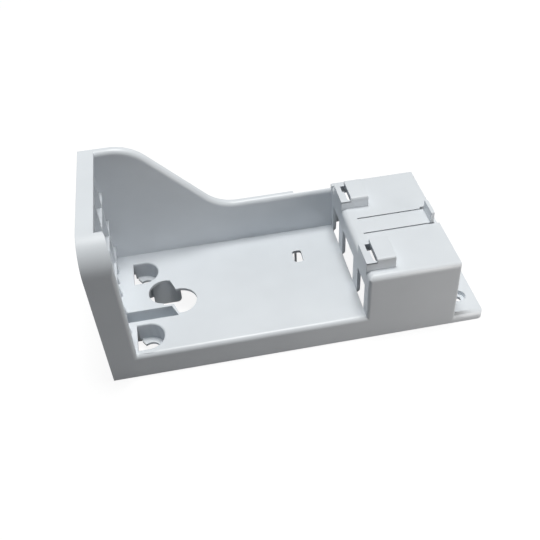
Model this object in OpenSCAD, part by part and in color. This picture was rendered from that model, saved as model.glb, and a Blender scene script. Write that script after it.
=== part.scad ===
// Ice maker bracket: one open, thin-walled injection moulding that stands on its rim.
// X runs along the length from the end wall to the screw flange, Y from the front face to the rear lip, Z up.
// The origin is the middle of the footprint, on the plane that the rim stands on.

/* [Overall] */
// Length over everything, end wall to the tip of the screw flange
bracket_l = 300; // [290:1:330]
// Depth from the front face to the rear lip
bracket_d = 122.5; // [118:0.5:135]
// Height of the end wall
end_h = 131; // [122:1:145]
// Wall thickness of the moulding
wall_t = 2.5; // [2:0.1:3]

/* [Deck] */
// Height of the deck over the rim
deck_h = 22.8; // [20:0.2:26]
// Outside radius where the deck rolls over into the front skirt
deck_r = 4; // [3.2:0.2:6]
// Length of the open bay, outside of the end wall to the housing
bay_l = 201; // [190:1:210]

/* [Back wall] */
// How far the rear lip stands out behind the inner face of the back wall
lip_w = 5.7; // [4:0.1:8]
// Radius of the rolled top edge of the back wall
roll_r = 4; // [3.2:0.2:4.8]
// Height of the low run of the back wall
low_h = 62.5; // [56:0.5:64]
// Length of the level run beside the end wall
high_run = 23; // [16:1:30]
// Slope of the flank between the high and the low run, in degrees
flank_a = 46.5; // [40:0.5:52]
// Radius over the top of the flank
crest_r = 38; // [30:1:44]
// Radius at the foot of the flank
foot_r = 35; // [28:1:40]
// Where the rear lip ends, from the left end
lip_end = 168; // [150:1:180]

/* [End wall] */
// Radius of the top front corner of the end wall
end_r = 25; // [20:1:30]
// Width of the front post at its foot
post_w = 22; // [20:0.5:24]
// Depth of the closed post at the front of the end wall
post_d = 21; // [18:0.5:24]
// Width of the top strip behind the post
strip_w = 12.3; // [11.5:0.1:14]
// Inner face of the pocket ribs
lattice_x = 11; // [9.5:0.5:11]
// Pitch of the pocket ribs
pocket_pitch = 29; // [26:0.5:32]
// Height of the lowest ledge in the pockets
ledge_z = 36; // [34:1:40]
// Height of the closed panel at the foot of the end wall
panel_h = 52; // [46:1:58]
// Thickness of the ribs
rib_t = 2; // [1.6:0.1:2.4]
// Height of the small gussets on the deck
gusset_h = 17; // [12:1:20]
// Reach of the small gussets over the deck
gusset_w = 2.4; // [1.6:0.2:3.2]

/* [Housing] */
// Width of the housing along the bracket
box_w = 71.5; // [66:0.5:76]
// Height of the housing
box_h = 65.2; // [64.6:0.2:72]
// Depth of the housing
box_d = 121; // [118:0.5:122]
// Radius of the top front and top left edges
box_r = 4.5; // [3.5:0.5:6]
// Radius of the upright front edges
box_edge_r = 2.5; // [1:0.5:2.5]
// Height of the top of the three windows
window_top = 49.8; // [44:0.2:54]
// Width of the front window
window_front = 19.5; // [16:0.5:21]
// Width of the middle window
window_mid = 36; // [30:0.5:38]
// Width of the rear window
window_rear = 21.5; // [18:0.5:22]

/* [Hook pads] */
// Length of a hook pad along the housing's edge
pad_l = 24.1; // [22:0.1:26]
// Width of a hook pad
pad_w = 22.6; // [20:0.2:25]
// Height of a hook pad over the housing
pad_h = 9; // [7:0.5:11]
// How much lower the slotted side of the pad is
pad_step = 2; // [1:0.25:3]
// Length of the hook slot
hook_l = 18.5; // [16:0.5:20]
// Width of the hook slot
hook_w = 3.7; // [3:0.1:4.2]

/* [Spring tongue] */
// Width of the tongue between its two slits
tongue_w = 17.6; // [15:0.2:20]
// Length of the tongue
tongue_l = 58; // [50:1:60]
// Width of each slit
slit_w = 1.2; // [1:0.1:2]
// Height of the finger tab over the housing
tab_h = 9.5; // [7:0.5:12]
// Thickness of the finger tab
tab_t = 2.8; // [2.2:0.1:3]

/* [Screw flange] */
// Height of the flange
flange_h = 5.5; // [5:0.25:7]
// Radius of the flange's corners, seen from above
flange_r = 10; // [6:0.5:12]
// Diameter of the screw holes
screw_d = 4.2; // [3.6:0.1:5.2]
// Diameter of the counterbores
bore_d = 14; // [11:0.5:15]
// Thickness of the seat under each screw head
seat_t = 1.5; // [1.2:0.1:2]
// Distance of the front screw from the front face
screw_y = 24; // [20:1:28]
// Distance between the two screws
screw_gap = 73; // [65:1:76]

/* [Deck openings] */
// Radius of the front screw well
front_well_r = 14; // [12:0.25:14.5]
// Radius of the rear screw well
rear_well_r = 12.5; // [11:0.25:13]
// Height of the ledge in the screw wells
well_ledge = 5.5; // [4:0.5:8]
// Width of the cable channel
channel_w = 11.3; // [9:0.1:12]
// Radius of both lobes of the key-shaped opening
key_r = 13.4; // [12:0.1:14]
// Length of the small slot in the deck
deck_slot_l = 14.5; // [12:0.5:18]
// Width of the small slot in the deck
deck_slot_w = 8; // [6:0.5:10]

/* [Hidden] */
eps = 0.5;
$fn = 48;
ice_white = "#DCE1E2";

// Inner and outer faces of the back wall
back_y = bracket_d - lip_w;
back_out = back_y + wall_t;
// The flank is this much thinner all round than the arcs, so that its ends lie inside them
flank_inset = 0.02;
// Depth of the wall under the rolled edge that is swept along with it
roll_leg = roll_r + 4;
// Middle of the housing's spring tongue, and the height of its underside
tongue_y = 60.6;
tongue_x0 = bay_l + 9.6;
box_in_h = box_h - wall_t;
box_x1 = bay_l + box_w;
// The tab stands at the free end of the tongue
tab_x = tongue_x0 + tongue_l - tab_t;
// Front edges of the hook pads
pad_ys = [8.7, 84.2];
// Windows of the housing: front edge and width of each
windows = [[12, window_front], [42.2, window_mid], [88.5, window_rear]];
// Screw wells: centre and radius of each
well_x = 31;
wells = [[18.5, front_well_r], [91.7, rear_well_r]];
well_x0 = 23;
well_t = 2;
// Cable channel in the deck
channel_y = 36.7;
channel_x = 56.6;
channel_lean = 4.7;
channel_floor = 3.5;
// Lobes of the key-shaped opening
key_lobes = [[47.7, 65.4], [59.2, 52.4]];
hood_y = 78.8;
hood_lean = 4.3;
hood_x = [37, 60];
// Pocket ribs count back from the back wall, and ledges up from the lowest
first_rib = back_y - 20.3;
rib_count = floor((first_rib - post_d - 8) / pocket_pitch) + 1;
ledge_count = floor((end_h - 12 - ledge_z) / pocket_pitch) + 1;
// The closed panel leans in from the post to the pockets
panel_y = 83;
panel_x = lattice_x - 2;
panel_front = post_w - 2;
gusset_ys = [24.3, 45.7, 68, 83.5, 98.4];
// Small slot in the deck
deck_slot = [163, 82.8];
// Ribs under the deck
under_ribs = [88, 128, 184];
under_rib_z = 9;

// Places a section drawn in Y and Z, and draws it out along X
module along_x(len) {
    rotate([90, 0, 90]) linear_extrude(len) children();
}

// Places a section drawn in X and Z, and draws it out along Y
module along_y(len) {
    translate([0, len, 0]) rotate([90, 0, 0]) linear_extrude(len) children();
}

// A section d wide and h high with its near top corner rounded
module rolled(d, h, r) {
    square([d, h - r]);
    translate([r, 0]) square([d - r, h]);
    translate([r, h - r]) circle(r);
}

// The same section as a wall of thickness wall_t, open below and behind
module rolled_wall(d, h, r) {
    difference() {
        rolled(d, h, r);
        translate([wall_t, -wall_t]) rolled(d, h, r - wall_t);
    }
}

// A rectangle with a radius at each corner, in the order near left, near right, far right, far left
module plan(w, d, r) {
    hull_points = [[r[0], r[0]], [w - r[1], r[1]], [w - r[2], d - r[2]], [r[3], d - r[3]]];
    difference() {
        square([w, d]);
        for (i = [0 : 3]) {
            if (r[i] > 0) {
                corner = [[0, 0], [w, 0], [w, d], [0, d]][i];
                difference() {
                    translate([min(corner[0], hull_points[i][0]), min(corner[1], hull_points[i][1])])
                        square(r[i]);
                    translate(hull_points[i]) circle(r[i]);
                }
            }
        }
    }
}

// Deck of the bay with its front skirt and stiffening ribs below
module deck() {
    along_x(bay_l + wall_t) rolled_wall(back_out, deck_h, deck_r);
    for (x = under_ribs) {
        translate([x, wall_t / 2, under_rib_z])
            cube([rib_t, back_y - wall_t / 2 + eps, deck_h - wall_t / 2 - under_rib_z]);
    }
}

// Key-shaped opening
module key_opening() {
    for (p = key_lobes) {
        translate(p) circle(key_r);
    }
}

// Drafted apron that closes the rear of the key-shaped opening under the deck
module key_hood() {
    hood_w = hood_x[1] - hood_x[0];
    intersection() {
        translate([hood_x[0], 0, 0]) along_x(hood_w) polygon([
            [hood_y, deck_h - wall_t / 2],
            [hood_y + rib_t, deck_h - wall_t / 2],
            [hood_y + rib_t - hood_lean, 0],
            [hood_y - hood_lean, 0]
        ]);
        translate([hood_x[0], 0, 0]) along_y(back_y) plan(hood_w, deck_h, [4, 4, 0, 0]);
    }
}

// Channel in plan, t larger all round
module channel_plan(t) {
    polygon([
        [lattice_x, channel_y - t],
        [channel_x + t, channel_y - t],
        [channel_x - channel_lean + t, channel_y + channel_w + t],
        [lattice_x, channel_y + channel_w + t]
    ]);
}

// A well in plan: round to the right, straight and open to the left
module well_plan(w, t) {
    translate([well_x, w[0]]) circle(w[1] + t);
    translate([well_x0, w[0] - w[1] - t]) square([well_x - well_x0, 2 * (w[1] + t)]);
}

// Walls and ledge of one screw well
module well(w) {
    ledge_in = w[1] - 4.6;
    translate([0, 0, well_ledge - seat_t]) difference() {
        linear_extrude(deck_h - wall_t / 2 - well_ledge + seat_t) well_plan(w, well_t);
        translate([0, 0, seat_t]) linear_extrude(deck_h) well_plan(w, 0);
        translate([well_x + 2, w[0], -eps]) cylinder(r = ledge_in, h = seat_t + 2 * eps);
        translate([well_x0 - eps, w[0] - ledge_in + 0.4, -eps])
            cube([well_x - well_x0, 2 * ledge_in - 0.8, seat_t + 2 * eps]);
        translate([well_x0 - eps, w[0] - w[1], -eps]) cube([1.2 + eps, 2 * w[1], seat_t + 2 * eps]);
    }
}

// Points on an arc about c, from angle a0 to a1
function arc(c, r, a0, a1, n) = [for (i = [0 : n]) let (a = a0 + (a1 - a0) * i / n) c + r * [cos(a), sin(a)]];

// The line that the top of the back wall follows, seen from the front
crest_c = [high_run, end_h - crest_r];
drop = (end_h - low_h) - (crest_r + foot_r) * (1 - cos(flank_a));
flank_l = drop / sin(flank_a);
flank_top = crest_c + crest_r * [sin(flank_a), cos(flank_a)];
flank_foot = flank_top + flank_l * [cos(flank_a), -sin(flank_a)];
foot_c = flank_foot + foot_r * [sin(flank_a), cos(flank_a)];

// Section of the rolled edge, inset by t: it runs back from the inner face, and its top is at height 0
module roll_section(t = 0) {
    translate([0, -roll_leg]) difference() {
        translate([t, 0]) rolled(lip_w - 2 * t, roll_leg - t, roll_r - t);
        translate([wall_t - t, -eps]) rolled(lip_w, roll_leg - wall_t + t + eps, roll_r - wall_t + t);
    }
}

// Rolled top edge of the back wall with its rear lip
module roll_edge() {
    translate([0, back_y, end_h]) along_x(high_run) roll_section();
    translate([crest_c[0], back_y, crest_c[1]]) rotate([90, 0, 0]) rotate(90)
        rotate_extrude(angle = -flank_a, $fn = 96) translate([crest_r, 0]) rotate(-90) roll_section();
    translate([flank_top[0], back_y, flank_top[1]]) rotate([0, flank_a, 0])
        translate([-eps, 0, 0]) along_x(flank_l + 2 * eps) roll_section(flank_inset);
    translate([foot_c[0], back_y, foot_c[1]]) rotate([90, 0, 0]) rotate(270)
        rotate_extrude(angle = -flank_a, $fn = 96)
        translate([foot_r, 0]) mirror([1, 0]) rotate(-90) roll_section();
    translate([foot_c[0], back_y, low_h]) along_x(bay_l + wall_t - foot_c[0]) roll_section();
}

// Back wall of the bay under its rolled edge
module back_wall() {
    down = roll_leg - 1;
    translate([0, back_y, 0]) along_y(wall_t) polygon(concat(
        [[0, 0], [0, end_h - down]],
        arc(crest_c, crest_r - down, 90, 90 - flank_a, 12),
        arc(foot_c, foot_r + down, 270 - flank_a, 270, 12),
        [[bay_l + wall_t, low_h - down], [bay_l + wall_t, 0]]
    ));
    difference() {
        roll_edge();
        translate([lip_end, back_out, deck_h]) cube([bay_l, lip_w, low_h]);
    }
}

// Footprint of the end wall's skin: a closed post in front and a narrower strip behind it
module end_plan() {
    back_w = post_w - (post_w - strip_w) * 0.3;
    difference() {
        polygon([[0, 0], [post_w, 0], [back_w, post_d], [0, post_d]]);
        difference() {
            translate([post_w - 3, 0]) square([3, 3]);
            translate([post_w - 3.2, 3]) circle(3);
        }
        difference() {
            translate([back_w - 3, post_d - 3]) square([4, 3]);
            translate([back_w - 2.8, post_d - 3]) circle(3);
        }
    }
    square([strip_w, bracket_d]);
}

// Outline of the end wall from the side
module end_side(d, t) {
    translate([t, -t]) rolled(d, end_h, end_r - t);
}

// Upright or level ribs of the pockets are kept inside the skin with this
module inside_end() {
    intersection() {
        along_x(bay_l) end_side(back_out, wall_t / 2);
        children();
    }
}

// Panel line at the foot of the end wall, seen from above
function panel_at(y) = y > panel_y ? panel_x : panel_x + (panel_front - panel_x) * (panel_y - y) / panel_y;

// End wall: outer skin, rolled strip, closed post, pockets and foot panel
module end_wall() {
    along_x(wall_t) rolled(back_out, end_h, end_r);
    intersection() {
        along_x(post_w) difference() {
            rolled(bracket_d, end_h, end_r);
            end_side(bracket_d, wall_t);
        }
        linear_extrude(end_h) end_plan();
    }
    // Side of the post towards the bay
    inside_end() linear_extrude(end_h) difference() {
        intersection() {
            end_plan();
            square([post_w, post_d]);
        }
        translate([-wall_t, wall_t]) intersection() {
            end_plan();
            square([post_w, post_d]);
        }
        square([lattice_x, bracket_d]);
    }
    // Upright ribs, and the back of the post
    inside_end() union() {
        translate([wall_t / 2, post_d - rib_t, deck_h]) cube([post_w - 6, rib_t, end_h]);
        for (i = [0 : rib_count - 1]) {
            translate([wall_t / 2, first_rib - i * pocket_pitch, deck_h - wall_t / 2])
                cube([lattice_x - wall_t / 2, rib_t, end_h]);
        }
        for (i = [0 : ledge_count - 1]) {
            translate([wall_t / 2, post_d - rib_t, ledge_z - rib_t + i * pocket_pitch])
                cube([lattice_x - wall_t / 2, back_y - post_d + rib_t + wall_t / 2, rib_t]);
        }
        linear_extrude(panel_h) polygon([
            [panel_at(0) - rib_t, 0], [panel_at(0), 0], [panel_at(panel_y), panel_y],
            [panel_x, back_y + eps], [panel_x - rib_t, back_y + eps], [panel_x - rib_t, panel_y]
        ]);
    }
    for (y = gusset_ys) {
        translate([panel_at(y) - eps, y, deck_h - eps]) along_y(rib_t) polygon([
            [0, 0], [gusset_w + eps, 0], [gusset_w + eps, eps], [eps, gusset_h + eps], [0, gusset_h + eps]
        ]);
    }
}

// Outside or, with t, inside of the housing
module housing_form(t) {
    w = box_w - 2 * t;
    r = box_r - t;
    translate([bay_l + t, 0, -t]) intersection() {
        translate([0, t, 0]) along_x(w) rolled(box_d + 2 * t, box_h, r);
        along_y(2 * box_d) difference() {
            plan(w, box_h, [0, 0, 1, r]);
        }
        translate([0, t, 0]) linear_extrude(box_h)
            plan(w, box_d + 2 * t, [max(box_edge_r - t, 0), max(box_edge_r - t, 0), 0, 0]);
    }
}

// Raised pad with a sleeve round the hook slot
module hook_pad(y) {
    low = pad_h - pad_step;
    translate([bay_l, y, box_h - box_r - 1]) {
        difference() {
            union() {
                cube([pad_w, pad_l, low + box_r + 1]);
                translate([8, 0, 0]) along_x(pad_w - 8) rolled(pad_l, pad_h + box_r + 1, 1.5);
            }
            translate([8 + wall_t / 2, wall_t, -eps])
                cube([pad_w - 8 - 1.5 * wall_t, pad_l - 2 * wall_t, pad_h + box_r + 1 - wall_t + eps]);
        }
    }
}

// Housing with its hook pads and square rear corner
module housing() {
    difference() {
        union() {
            housing_form(0);
            for (y = pad_ys) {
                hook_pad(y);
            }
            translate([bay_l, back_y + 0.4, low_h - roll_leg])
                cube([box_r + 1, box_d - back_y - 0.4, box_h - low_h + roll_leg]);
        }
        difference() {
            housing_form(wall_t);
            for (y = pad_ys) {
                translate([bay_l, y, box_h - box_r - 1]) cube([8 + wall_t / 2, pad_l, box_r + 1]);
            }
        }
        for (y = pad_ys) {
            translate([bay_l + 8 + wall_t / 2, y + wall_t, box_in_h - 2 * eps])
                cube([pad_w - 8 - 1.5 * wall_t, pad_l - 2 * wall_t, 4]);
            translate([bay_l + 3.5, y + 1.9, box_h - 2 * box_r])
                cube([hook_w, hook_l, pad_h + 3 * box_r]);
        }
        for (w = windows) {
            translate([bay_l - wall_t, w[0], deck_h]) cube([3 * wall_t, w[1], window_top - deck_h]);
        }
        // Slits of the spring tongue, and the notch round its tab
        for (side = [-1, 1]) {
            translate([tongue_x0, tongue_y + side * (tongue_w + slit_w) / 2 - slit_w / 2, box_h - box_r])
                cube([tongue_l, slit_w, 2 * box_r]);
        }
        translate([tab_x - 2, tongue_y + tongue_w / 2, box_h - box_r]) cube([box_w, 3.2, 2 * box_r]);
        translate([tab_x - 2, tongue_y - tongue_w / 2 - 1.6, box_h - box_r]) cube([box_w, 1.6, 2 * box_r]);
        translate([tab_x + tab_t, tongue_y - tongue_w / 2 - 1.6, box_h - box_r])
            cube([box_w, tongue_w + 4.8, 2 * box_r]);
    }
    translate([tab_x, tongue_y - tongue_w / 2 + 0.4, box_in_h - 2])
        along_x(tab_t) plan(tongue_w - 0.8, tab_h + wall_t + 2, [0, 0, 1, 1]);
}

// Low flange with two counterbored screw holes
module flange() {
    flange_l = bracket_l - box_x1;
    screws = [[box_x1 + flange_l / 2, screw_y], [box_x1 + flange_l / 2, screw_y + screw_gap]];
    difference() {
        union() {
            difference() {
                intersection() {
                    translate([box_x1 - wall_t, 0, 0]) along_x(flange_l + wall_t)
                        rolled(box_d, flange_h, flange_h - 0.5);
                    translate([box_x1 - wall_t, 0, 0]) linear_extrude(flange_h)
                        plan(flange_l + wall_t, box_d, [0, flange_r, flange_r, 0]);
                }
                translate([box_x1 - 2 * wall_t, wall_t, -wall_t]) linear_extrude(flange_h)
                    plan(flange_l + wall_t, box_d - 2 * wall_t, [0, flange_r - wall_t, flange_r - wall_t, 0]);
            }
            for (s = screws) {
                translate([s[0], s[1], 0]) cylinder(d = bore_d + 4, h = flange_h - wall_t / 2);
            }
        }
        for (s = screws) {
            translate([s[0], s[1], seat_t]) cylinder(d = bore_d, h = flange_h);
            translate([s[0], s[1], -eps]) cylinder(d = screw_d, h = flange_h);
        }
    }
}

// The whole moulding
module bracket() {
    color(ice_white) translate([-bracket_l / 2, -bracket_d / 2, 0]) {
        difference() {
            union() {
                deck();
                end_wall();
                back_wall();
            }
            // The skin is open where the wells, the channel and the openings pass through the deck
            for (w = wells) {
                translate([0, 0, deck_h - 2 * wall_t]) linear_extrude(3 * wall_t) well_plan(w, 0);
            }
            translate([0, 0, -eps]) linear_extrude(deck_h + 2 * eps) key_opening();
            translate([0, 0, deck_h - 2 * wall_t]) linear_extrude(2 * wall_t + eps) intersection() {
                channel_plan(0);
                translate([panel_at(channel_y) + eps, 0]) square([bay_l, back_y]);
            }
            translate([deck_slot[0] - deck_slot_w / 2, deck_slot[1] - deck_slot_l / 2, deck_h - 2 * wall_t])
                linear_extrude(3 * wall_t) plan(deck_slot_w, deck_slot_l, [1, 1, 1, 1]);
            // The inside of the housing stays open to the bay's windows
            translate([bay_l + wall_t, wall_t, -eps]) cube([box_w, box_d, deck_h]);
        }
        for (w = wells) {
            well(w);
        }
        translate([0, 0, channel_floor - rib_t]) difference() {
            intersection() {
                linear_extrude(deck_h - channel_floor + rib_t) channel_plan(rib_t);
                translate([panel_at(channel_y) - rib_t, 0, 0]) cube([bay_l, back_y, deck_h]);
            }
            translate([0, 0, rib_t]) linear_extrude(deck_h) channel_plan(0);
        }
        key_hood();
        housing();
        flange();
    }
}

bracket();
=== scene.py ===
import math

import bmesh
import bpy
from mathutils import Matrix, Vector
from mathutils.kdtree import KDTree


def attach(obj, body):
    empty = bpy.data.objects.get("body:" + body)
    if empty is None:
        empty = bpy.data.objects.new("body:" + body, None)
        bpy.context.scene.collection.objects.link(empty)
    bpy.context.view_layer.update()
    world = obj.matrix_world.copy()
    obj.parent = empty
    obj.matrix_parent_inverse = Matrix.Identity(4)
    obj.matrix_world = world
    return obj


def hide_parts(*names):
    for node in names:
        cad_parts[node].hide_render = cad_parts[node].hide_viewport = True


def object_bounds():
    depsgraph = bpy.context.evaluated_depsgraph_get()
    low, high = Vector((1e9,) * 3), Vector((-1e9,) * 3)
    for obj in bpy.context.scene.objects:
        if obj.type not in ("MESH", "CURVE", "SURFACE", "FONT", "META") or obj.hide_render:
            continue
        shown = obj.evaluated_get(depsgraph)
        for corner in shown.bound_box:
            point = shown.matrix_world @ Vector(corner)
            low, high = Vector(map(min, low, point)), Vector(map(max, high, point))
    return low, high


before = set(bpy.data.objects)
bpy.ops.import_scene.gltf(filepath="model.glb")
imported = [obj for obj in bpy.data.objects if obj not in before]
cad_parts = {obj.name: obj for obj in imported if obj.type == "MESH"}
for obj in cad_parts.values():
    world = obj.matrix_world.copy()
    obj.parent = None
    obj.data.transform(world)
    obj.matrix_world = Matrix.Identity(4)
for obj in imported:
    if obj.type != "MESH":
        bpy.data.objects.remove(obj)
cad_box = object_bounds()

# The bracket is one moulding of white ABS, shot in a single steel tool, with nothing fitted to it. The solid
# gives its body. Its screw wells, key-shaped opening, deck slot, windows, hook pads and screw flange are cut
# out of a copy of the solid and moulded in again at the sizes read from the photograph.

# Sizes are in millimetres from one corner of the moulding: from the outer face of its end wall (x), from its
# front face (y) and from the rim that it stands on (z)
WALL = 2.5
DECK_TOP = 22.8
DECK_UNDER = DECK_TOP - WALL
ROOF_TOP = 65.2
ROOF_UNDER = ROOF_TOP - WALL
BAY_BACK = 116.8
THROUGH_DECK = (18, 24)
# A cut that runs clear of the rim or of the deck ends at one of these
CLEAR_BELOW = -1
CLEAR_ABOVE = 30
# Where that corner stands in the frame, also in millimetres
FRONT_FACE = -61.25
MOULD_CORNER = Vector((cad_box[0][0] * 1000, FRONT_FACE, 0.0))


def arc(x, y, radius, start, end, steps=10):
    """Points on an arc about x, y, from one angle in degrees to another."""
    angles = [math.radians(start + (end - start) * i / steps) for i in range(steps + 1)]
    return [(x + radius * math.cos(a), y + radius * math.sin(a)) for a in angles]


def circle(x, y, radius, corners=36):
    """Points on a full circle about x, y."""
    return arc(x, y, radius, 0, 360 - 360 / corners, corners - 1)


def moulded_form(rings, axis="z"):
    """A closed form through rings of as many points each, every ring with its height along the axis."""
    count = len(rings[0][0])
    points = []
    for ring, height in rings:
        for a, b in ring:
            place = {"x": (height, a, b), "y": (a, height, b), "z": (a, b, height)}[axis]
            points.append((MOULD_CORNER + Vector(place)) / 1000)
    faces = [list(range(count))[::-1], [count * (len(rings) - 1) + i for i in range(count)]]
    for level in range(len(rings) - 1):
        for i in range(count):
            a = level * count + i
            b = level * count + (i + 1) % count
            faces.append([a, b, b + count, a + count])
    mesh = bpy.data.meshes.new("form")
    mesh.from_pydata(points, [], faces)
    form = bmesh.new()
    form.from_mesh(mesh)
    bmesh.ops.recalc_face_normals(form, faces=form.faces)
    form.to_mesh(mesh)
    form.free()
    return bpy.data.objects.new("form", mesh)


def slab(outline, heights, axis="z"):
    """A form with the same outline at both of its ends."""
    return moulded_form([(outline, height) for height in heights], axis)


def block(x, y, z):
    """A plain block between two ends on each axis."""
    return slab([(x[0], y[0]), (x[1], y[0]), (x[1], y[1]), (x[0], y[1])], z)


def work(body, operation, form):
    """Works a form into a body and takes the form away."""
    for part in (body, form):
        if part.name not in bpy.context.scene.collection.objects:
            bpy.context.scene.collection.objects.link(part)
    step = body.modifiers.new("step", "BOOLEAN")
    step.operation = operation
    step.solver = "MANIFOLD"
    step.object = form
    worked = body.evaluated_get(bpy.context.evaluated_depsgraph_get())
    result = bpy.data.meshes.new_from_object(worked)
    body.modifiers.clear()
    body.data = result
    bpy.data.objects.remove(form)


def cut_out(body, form):
    """Leaves the room of a form open in the body."""
    work(body, "DIFFERENCE", form)


def mould_on(body, form):
    """Makes a form one with the body."""
    work(body, "UNION", form)


def rolled_section(depth, height, radius, y=0.0, z=0.0):
    """A section in y and z with its near top corner rolled over."""
    near_top = arc(y + radius, z + height - radius, radius, 90, 180, 9)
    return [(y, z), (y + depth, z), (y + depth, z + height)] + near_top


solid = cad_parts["bracket"].data
moulding = bpy.data.objects.new("moulding", solid.copy())

# The housing's right side stands further out than the solid's and leans out to its foot
HOUSING_RIGHT = 269.5
HOUSING_WIDER = 0.7
HOUSING_LEAN = 1.3
form = bmesh.new()
form.from_mesh(moulding.data)
bmesh.ops.remove_doubles(form, verts=form.verts, dist=1e-6)
for corner in form.verts:
    if corner.co.x * 1000 - MOULD_CORNER.x > HOUSING_RIGHT:
        down = 1 - corner.co.z * 1000 / ROOF_TOP
        corner.co.x += (HOUSING_WIDER + HOUSING_LEAN * down) / 1000
form.to_mesh(moulding.data)
form.free()

# Screw wells: round to the right, and straight and open to the left, with a soft rim and a seat that is
# slotted for the screw. Each row has a well's middle and radius, then those of the solid's well.
WELL_X = 31
WELL_LEFT = 23
WELL_RIM = 1.6
WELL_SKIN = 2.0
ABOVE_SEAT = 10
SEAT_TOP = 7.3
SEAT_LEFT = 24.8
SEAT_WIDTH = 6
SCREW_X = 32
HALF_SLOT = [(20, 14), (23, 13), (27.9, 5), (SCREW_X, 5)]
SOLID_WELL_LEFT = 19.8
SOLID_WELL_SKIN = 2.3
LAP = 0.1
WELLS = ((19.6, 12.9, 18.5, 14.0), (92.6, 12.4, 91.7, 12.5))


def well_plan(y, radius, grown=0.0):
    """A screw well in plan, larger all round but at its open left side."""
    near = (WELL_LEFT, y - radius - grown)
    far = (WELL_LEFT, y + radius + grown)
    return [near] + arc(WELL_X, y, radius + grown, -90, 90, 24) + [far]


for y, radius, solid_y, solid_radius in WELLS:
    # The solid's well goes, and the deck is closed over it
    under_deck = (CLEAR_BELOW, DECK_UNDER)
    cut_out(moulding, slab(circle(WELL_X, solid_y, solid_radius + SOLID_WELL_SKIN), under_deck))
    left_end = (y - radius - SOLID_WELL_SKIN, y + radius + SOLID_WELL_SKIN + LAP)
    cut_out(moulding, block((SOLID_WELL_LEFT, SEAT_LEFT), left_end, under_deck))
    plug = circle(WELL_X, solid_y, solid_radius + SOLID_WELL_SKIN + LAP)
    mould_on(moulding, slab(plug, (DECK_UNDER, DECK_TOP)))
    # The opening flares to the deck on a quarter round
    opening = [(well_plan(y, radius), ABOVE_SEAT), (well_plan(y, radius), DECK_TOP - WELL_RIM)]
    for turn in (22, 45, 68, 90):
        flare = WELL_RIM - WELL_RIM * math.cos(math.radians(turn))
        rise = WELL_RIM * math.sin(math.radians(turn))
        opening.append((well_plan(y, radius, flare), DECK_TOP - WELL_RIM + rise))
    opening.append((well_plan(y, radius, WELL_RIM), CLEAR_ABOVE))
    cut_out(moulding, moulded_form(opening))
    # The cup under it, with its seat
    cup = slab(well_plan(y, radius, WELL_SKIN), (SEAT_TOP - WELL_SKIN, DECK_TOP - 1.9))
    cut_out(cup, slab(well_plan(y, radius), (SEAT_TOP, CLEAR_ABOVE)))
    through_seat = (0, SEAT_TOP + 1.7)
    cut_out(cup, slab(circle(SCREW_X, y, radius - SEAT_WIDTH), through_seat))
    near_side = [(x, y - half) for x, half in HALF_SLOT]
    far_side = [(x, y + half) for x, half in HALF_SLOT[::-1]]
    cut_out(cup, slab(near_side + far_side, through_seat))
    cut_out(cup, block((0, SEAT_LEFT), (y - radius, y + radius), (0, CLEAR_ABOVE)))
    mould_on(moulding, cup)

# The foot panel of the end wall runs on past the front well, and leans in a little to the back
foot_panel = [(16.2, 4), (19.5, 4), (16.1, 34), (13.5, 34)]
mould_on(moulding, slab(foot_panel, (1, CLEAR_ABOVE)))

# Key-shaped opening: the rear lobe ends along a straight edge, and the front lobe, given by its middle and
# radius, is cut to its full round
FRONT_LOBE = (59.2, 52.8, 13.8)
straight_edge = [(48.4, 90.6), (56.6, 66.5)] + arc(*FRONT_LOBE, 100, 60, 6) + [(70, 66), (70, 90.6)]
mould_on(moulding, slab(straight_edge, (DECK_UNDER, DECK_TOP)))
cut_out(moulding, slab(arc(*FRONT_LOBE, -5, 185, 40), THROUGH_DECK))

# Deck slot: it has round corners, and the end of a small rib under the deck shows in it
SLOT_X = (159.2, 166.9)
SLOT_Y = (75.7, 89.9)
SLOT_ROUND = 2.2
SOLID_SLOT = ((158, 168), (74.5, 91))
RIB_END = ((161.7, 163.4), (89.7, 91.6))
RIB_FOOT = 10
slot_plan = []
for on_right, at_back, start in ((0, 0, 180), (1, 0, 270), (1, 1, 0), (0, 1, 90)):
    x = SLOT_X[on_right] + SLOT_ROUND * (1 - 2 * on_right)
    y = SLOT_Y[at_back] + SLOT_ROUND * (1 - 2 * at_back)
    slot_plan += arc(x, y, SLOT_ROUND, start, start + 90, 5)
mould_on(moulding, block(*SOLID_SLOT, (DECK_UNDER, DECK_TOP)))
cut_out(moulding, slab(slot_plan, THROUGH_DECK))
mould_on(moulding, block(*RIB_END, (RIB_FOOT, DECK_UNDER + 0.2)))

# Windows: three openings in the wall between the bay and the housing. The wall rises from the end of the
# deck on a bend, given by its middle and radius, and nothing stands below it. Each row of the windows is
# where one starts, and its width.
WINDOW_WALL = (201, 203.8)
WINDOW_WALL_HEAD = 52
WINDOW_TOP = 48.7
BEND = (200.4, DECK_TOP + 1.6, 3.4)
WEB_X = (202, 210.5)
WEB_FOOT = 25.3
WINDOWS = ((11.3, 20), (44.4, 34), (90.4, 19.9))
mould_on(moulding, block(WINDOW_WALL, (WALL, BAY_BACK), (DECK_UNDER, WINDOW_WALL_HEAD)))
below_wall = (WINDOW_WALL[0], WINDOW_WALL[1] + 0.1)
through_wall = (WINDOW_WALL[0] - 0.01, WINDOW_WALL[1] + 0.6)
cut_out(moulding, block(below_wall, (WALL, BAY_BACK), (CLEAR_BELOW, DECK_TOP - 1.8)))
for y, width in WINDOWS:
    cut_out(moulding, block(through_wall, (y, y + width), (CLEAR_BELOW, WINDOW_TOP)))
outside_bend = [(WINDOW_WALL[1] + 0.1, DECK_TOP - 1.9)] + arc(*BEND, -90, 0, 6)
cut_out(moulding, slab(outside_bend, (WALL, BAY_BACK), "y"))
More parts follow.
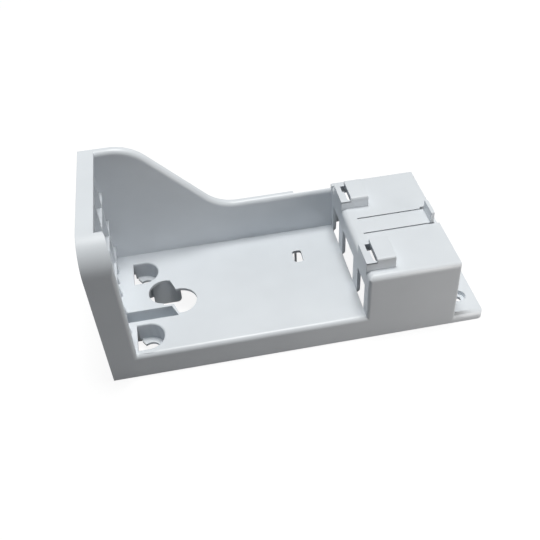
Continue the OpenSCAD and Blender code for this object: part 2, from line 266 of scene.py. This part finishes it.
# The back wall ends in a short web behind the last window
mould_on(moulding, block(WEB_X, (BAY_BACK, BAY_BACK + WALL), (WEB_FOOT, ROOF_TOP - 1)))

# Hook pads: each has two hollow steps on the roof, and a slot that a hook of the cover drops through. A step
# is given by its left end, its height from its foot and the round of its front edge, and a hollow by its
# left end and its top.
PADS_Y = (8.7, 84.2)
PAD_STEPS = ((201, 12.4, 0.6), (209.1, 15.7, 1.8))
PAD_RIGHT = 223.6
PAD_FOOT = 59.7
PAD_DEPTH = 24.1
SOLID_PAD_X = (200.5, 224.2)
FRONT_WALL = 2.6
HOLLOWS = ((203.8, 70.5), (210.7, 73.8))
HOLLOW_DEPTH = 19.4
HOLLOW_RIGHT = 222
HOLLOW_FOOT = 58
HOOK_SLOT = (206.9, 209.1)
WIDE_SLOT = (205.3, 209.1)
WIDE_FROM = 11.8
THROUGH_PAD = (70, 81)
for y in PADS_Y:
    cut_out(moulding, block(SOLID_PAD_X, (y - 0.5, y + PAD_DEPTH + 0.6), (ROOF_TOP, THROUGH_PAD[1] - 1)))
    for left, height, roll in PAD_STEPS:
        mould_on(moulding, slab(rolled_section(PAD_DEPTH, height, roll, y, PAD_FOOT), (left, PAD_RIGHT), "x"))
    near = y + FRONT_WALL
    far = near + HOLLOW_DEPTH
    for left, top in HOLLOWS:
        cut_out(moulding, block((left, HOLLOW_RIGHT), (near, far), (HOLLOW_FOOT, top)))
    # The hook slot is wider at the back
    cut_out(moulding, block(WIDE_SLOT, (near + WIDE_FROM, far), THROUGH_PAD))
    cut_out(moulding, block(HOOK_SLOT, (near, far), THROUGH_PAD))
    # Behind the hollow the roof's skin is cut back on a slant
    relief = [
        (far - 0.5, ROOF_TOP), (far, ROOF_TOP), (far + WALL + 0.2, ROOF_UNDER),
        (far + WALL + 0.2, HOLLOW_FOOT), (far - 0.5, HOLLOW_FOOT),
    ]
    cut_out(moulding, slab(relief, (HOLLOWS[0][0], HOLLOW_RIGHT), "x"))

# Screw flange: a low skin with a rolled front edge and round corners, and two bosses under it that are
# counterbored for screws with a washer head
FLANGE_START = 272
FLANGE_END = 298.7
FLANGE_DEPTH = 121
FLANGE_HEIGHT = 6.6
FLANGE_ROLL = 5.2
CORNER_ROUND = 4.6
SOLID_FLANGE = ((275.4, 305), (CLEAR_BELOW, 130), (CLEAR_BELOW, 12))
SCREWS_X = 285.2
SCREWS_Y = (22.2, 98.8)
SCREW_RADIUS = 3.05
BORE_RADIUS = 6.3
BORE_SEAT = 2.5
BOSS_RADIUS = 8.1
BOSS_TOP = 5.6
cut_out(moulding, block(*SOLID_FLANGE))
flange = slab(rolled_section(FLANGE_DEPTH, FLANGE_HEIGHT, FLANGE_ROLL), (FLANGE_START, FLANGE_END), "x")
corner_x = FLANGE_END - CORNER_ROUND
flange_plan = [(FLANGE_START - 1, -1), (corner_x, -1)]
flange_plan += arc(corner_x, CORNER_ROUND, CORNER_ROUND, -90, 0, 8)
flange_plan += arc(corner_x, FLANGE_DEPTH - CORNER_ROUND, CORNER_ROUND, 0, 90, 8)
flange_plan += [(FLANGE_START - 1, FLANGE_DEPTH)]
work(flange, "INTERSECT", slab(flange_plan, (CLEAR_BELOW, 8)))
hollow = rolled_section(FLANGE_DEPTH - 2 * WALL, FLANGE_HEIGHT, FLANGE_ROLL - 2, WALL, -2)
cut_out(flange, slab(hollow, (FLANGE_START - 3, FLANGE_END - WALL), "x"))
for y in SCREWS_Y:
    mould_on(flange, slab(circle(SCREWS_X, y, BOSS_RADIUS), (0, BOSS_TOP)))
for y in SCREWS_Y:
    cut_out(flange, slab(circle(SCREWS_X, y, BORE_RADIUS, 45), (BORE_SEAT, 9)))
    cut_out(flange, slab(circle(SCREWS_X, y, SCREW_RADIUS), (CLEAR_BELOW, 9)))
mould_on(moulding, flange)

# Flat faces stay flat and only the rolled edges are shaded round
SAME_PLACE = 2e-6
SAME_PLANE = math.radians(0.4)
SAME_FACE = math.radians(4)
SHARP_FROM = math.radians(32)
form = bmesh.new()
form.from_mesh(moulding.data)
bmesh.ops.remove_doubles(form, verts=form.verts, dist=SAME_PLACE)
bmesh.ops.dissolve_limit(form, angle_limit=SAME_PLANE, verts=form.verts, edges=form.edges)
form.to_mesh(moulding.data)
form.free()
moulding.data.shade_smooth()
moulding.data.set_sharp_from_angle(angle=SHARP_FROM)
flats = moulding.modifiers.new("flats", "WEIGHTED_NORMAL")
flats.mode = "FACE_AREA"
flats.weight = 100
flats.keep_sharp = True
graph = bpy.context.evaluated_depsgraph_get()
moulding.data = bpy.data.meshes.new_from_object(
    moulding.evaluated_get(graph), preserve_all_data_layers=True, depsgraph=graph,
)
moulding.modifiers.clear()

# A corner that is still the solid's own takes the solid's normal, which follows its true curves. It is the
# same corner within 2 thousandths of a millimetre, and the same face within 4 degrees.
solid_corners = KDTree(len(solid.vertices))
for corner in solid.vertices:
    solid_corners.insert(corner.co, corner.index)
solid_corners.balance()
solid_normals = [[] for corner in solid.vertices]
for face in solid.polygons:
    for loop in face.loop_indices:
        normal = solid.corner_normals[loop].vector.copy()
        solid_normals[solid.loops[loop].vertex_index].append((face.normal.copy(), normal))
normals = [corner.vector.copy() for corner in moulding.data.corner_normals]
for face in moulding.data.polygons:
    for loop in face.loop_indices:
        place = moulding.data.vertices[moulding.data.loops[loop].vertex_index].co
        at_place = solid_corners.find_range(place, SAME_PLACE)
        same = [pair for found in at_place for pair in solid_normals[found[1]]]
        nearest = max(same, key=lambda pair: pair[0].dot(face.normal), default=None)
        if nearest and nearest[0].dot(face.normal) > math.cos(SAME_FACE):
            normals[loop] = nearest[1]
moulding.data.normals_split_custom_set(normals)


def linear(hex_colour):
    """An sRGB hex colour as the linear RGBA that the shaders work in."""
    values = [int(hex_colour[i:i + 2], 16) / 255 for i in (1, 3, 5)]
    return [v / 12.92 if v <= 0.04045 else ((v + 0.055) / 1.055) ** 2.4 for v in values] + [1.0]


def add_node(tree, kind, settings=None, **inputs):
    """Adds a node to the tree. A socket name with _ for a space takes a value, or an output to link."""
    node = tree.nodes.new(kind)
    for name, value in (settings or {}).items():
        setattr(node, name, value)
    for name, value in inputs.items():
        socket = node.inputs[int(name[1:])] if name[1:].isdigit() else node.inputs[name.replace("_", " ")]
        if isinstance(value, bpy.types.NodeSocket):
            tree.links.new(value, socket)
        else:
            socket.default_value = value
    return node


# Its skin is white ABS off a polished tool. It is a soft gloss that mirrors what is beyond it at a grazing
# look, and flow and cooling leave a very shallow waviness with a fine grain on it. The pigment is a cool
# bluish white, and a shade uneven where the melt ran further.
moulded_abs = bpy.data.materials.new("moulded_abs")
moulded_abs.use_nodes = True
abs_tree = moulded_abs.node_tree
abs_tree.nodes.clear()
place = add_node(abs_tree, "ShaderNodeTexCoord").outputs["Object"]
# Flow marks are 30 to 40 mm across, and the eye reads them as an uneven white
flow = add_node(abs_tree, "ShaderNodeTexNoise", Vector=place, Scale=28.0, Detail=2.0, Roughness=0.45)
pigment = add_node(abs_tree, "ShaderNodeValToRGB", Fac=flow.outputs["Fac"])
pigment.color_ramp.elements[0].position = 0.3
pigment.color_ramp.elements[0].color = linear("#DBE0E5")
pigment.color_ramp.elements[1].position = 0.7
pigment.color_ramp.elements[1].color = linear("#E0E5EA")
# The grain of the tool steel is about 0.5 mm, drawn at 0.8 mm so that it shows at all
grain = add_node(abs_tree, "ShaderNodeTexNoise", Vector=place, Scale=1250.0, Detail=2.0, Roughness=0.6)
gloss = add_node(
    abs_tree, "ShaderNodeMapRange", Value=grain.outputs["Fac"],
    From_Min=0.3, From_Max=0.7, To_Min=0.34, To_Max=0.42,
)
# Every edge of the tool is broken by about 0.5 mm, which is what catches the light along the ribs
broken_edge = add_node(abs_tree, "ShaderNodeBevel", {"samples": 6}, Radius=0.0005)
waves = add_node(
    abs_tree, "ShaderNodeBump", Height=flow.outputs["Fac"], Strength=0.06, Distance=0.004,
    Normal=broken_edge.outputs["Normal"],
)
skin = add_node(
    abs_tree, "ShaderNodeBump", Height=grain.outputs["Fac"], Strength=0.12, Distance=0.0002,
    Normal=waves.outputs["Normal"],
)
plastic = add_node(
    abs_tree, "ShaderNodeBsdfPrincipled", Base_Color=pigment.outputs["Color"],
    Roughness=gloss.outputs["Result"], IOR=1.54, Normal=skin.outputs["Normal"],
)
add_node(abs_tree, "ShaderNodeOutputMaterial", Surface=plastic.outputs["BSDF"])
moulding.data.materials.clear()
moulding.data.materials.append(moulded_abs)
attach(moulding, "root")
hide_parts("bracket")


def seen_or_mirrored(tree):
    """One for rays from the camera and those that a gloss or a clear piece sends on, or else nought."""
    ray = add_node(tree, "ShaderNodeLightPath")
    seen = ray.outputs["Is Camera Ray"]
    for kind in ("Is Glossy Ray", "Is Transmission Ray"):
        seen = add_node(
            tree, "ShaderNodeMath", {"operation": "MAXIMUM"}, _0=seen, _1=ray.outputs[kind],
        ).outputs[0]
    return seen


# The studio: a pale paper floor that runs out of sight, as for a catalogue picture. The paper takes the
# bracket's shadow and is white to the camera and in the gloss. Its own tone is a grey, so that it throws
# little light up on the bracket.
FLOOR_REACH = 6
FLOOR_DROP = 0.0004
PAPER_GLOW = 0.9
floor_mesh = bpy.data.meshes.new("paper_floor")
floor_corners = [(x * FLOOR_REACH, y * FLOOR_REACH, 0) for x, y in ((-1, -1), (1, -1), (1, 1), (-1, 1))]
floor_mesh.from_pydata(floor_corners, [], [(0, 1, 2, 3)])
paper_floor = bpy.data.objects.new("paper_floor", floor_mesh)
bpy.context.scene.collection.objects.link(paper_floor)
paper_floor.location.z = -FLOOR_DROP
paper = bpy.data.materials.new("white_paper")
paper.use_nodes = True
paper_tree = paper.node_tree
paper_tree.nodes.clear()
seen = seen_or_mirrored(paper_tree)
glow = add_node(paper_tree, "ShaderNodeMath", {"operation": "MULTIPLY"}, _0=seen, _1=PAPER_GLOW)
sheet = add_node(paper_tree, "ShaderNodeBsdfDiffuse", Color=linear("#767676"))
bright = add_node(paper_tree, "ShaderNodeEmission", Color=linear("#FFFFFF"), Strength=glow.outputs[0])
both = add_node(paper_tree, "ShaderNodeAddShader", _0=sheet.outputs[0], _1=bright.outputs[0])
add_node(paper_tree, "ShaderNodeOutputMaterial", Surface=both.outputs[0])
floor_mesh.materials.append(paper)

# The room round the floor is white where it is seen or mirrored, and a soft cool grey where it lights
world = bpy.data.worlds.new("studio")
bpy.context.scene.world = world
world.use_nodes = True
room = world.node_tree
room.nodes.clear()
seen = seen_or_mirrored(room)
fill = add_node(room, "ShaderNodeBackground", Color=linear("#CCD8E8"), Strength=0.1)
white = add_node(room, "ShaderNodeBackground", Color=linear("#FFFFFF"), Strength=1.0)
mixed = add_node(room, "ShaderNodeMixShader", _0=seen, _1=fill.outputs[0], _2=white.outputs[0])
add_node(room, "ShaderNodeOutputWorld", Surface=mixed.outputs[0])


def soft_lamp(name, place, target, size, power, colour):
    """A square soft box at a place, turned to a target."""
    lamp = bpy.data.objects.new(name, bpy.data.lights.new(name, "AREA"))
    lamp.data.size = size
    lamp.data.energy = power
    lamp.data.color = colour
    lamp.location = place
    lamp.rotation_euler = (Vector(target) - Vector(place)).to_track_quat("-Z", "Y").to_euler()
    bpy.context.scene.collection.objects.link(lamp)


# One big lamp stands over the bracket and a little behind it, and a weak warm one lifts the front
soft_lamp(
    "soft_box_over", place=(0.05, 0.14, 1.4), target=(0.0, 0.0, 0.03),
    size=0.5, power=16.0, colour=(1.0, 0.995, 0.97),
)
soft_lamp(
    "soft_box_right", place=(0.42, -0.36, 0.1), target=(0.08, -0.03, 0.03),
    size=0.3, power=1.0, colour=(1.0, 0.94, 0.88),
)

# The camera, fitted to the long edges of the moulding in the photograph: a medium lens, 43 degrees above
# the horizon and turned a little past square to the open front, with the frame rolled by four degrees.
# Its place is in millimetres from the moulding's corner, and its lens was fitted in the picture's pixels.
CAMERA_PLACE = Vector((79.25, -362.85, 436.55))
CAMERA_AZIMUTH = math.radians(7.55)
CAMERA_ELEVATION = math.radians(43.38)
CAMERA_ROLL = math.radians(-3.89)
LENS_IN_PIXELS = 715.28
PICTURE_WIDTH = 540
SENSOR_WIDTH = 36
ahead = Vector((
    math.sin(CAMERA_AZIMUTH) * math.cos(CAMERA_ELEVATION),
    math.cos(CAMERA_AZIMUTH) * math.cos(CAMERA_ELEVATION),
    -math.sin(CAMERA_ELEVATION),
))
level = ahead.cross(Vector((0, 0, 1))).normalized()
upright = level.cross(ahead)
right = level * math.cos(CAMERA_ROLL) + upright * math.sin(CAMERA_ROLL)
up = upright * math.cos(CAMERA_ROLL) - level * math.sin(CAMERA_ROLL)
camera = bpy.data.objects.new("camera", bpy.data.cameras.new("camera"))
bpy.context.scene.collection.objects.link(camera)
camera.data.sensor_width = SENSOR_WIDTH
camera.data.lens = LENS_IN_PIXELS / PICTURE_WIDTH * SENSOR_WIDTH
camera.matrix_world = Matrix.Translation((MOULD_CORNER + CAMERA_PLACE) / 1000) @ Matrix((
    (right.x, up.x, -ahead.x),
    (right.y, up.y, -ahead.y),
    (right.z, up.z, -ahead.z),
)).to_4x4()
bpy.context.scene.camera = camera
bpy.context.scene.view_settings.view_transform = "Standard"
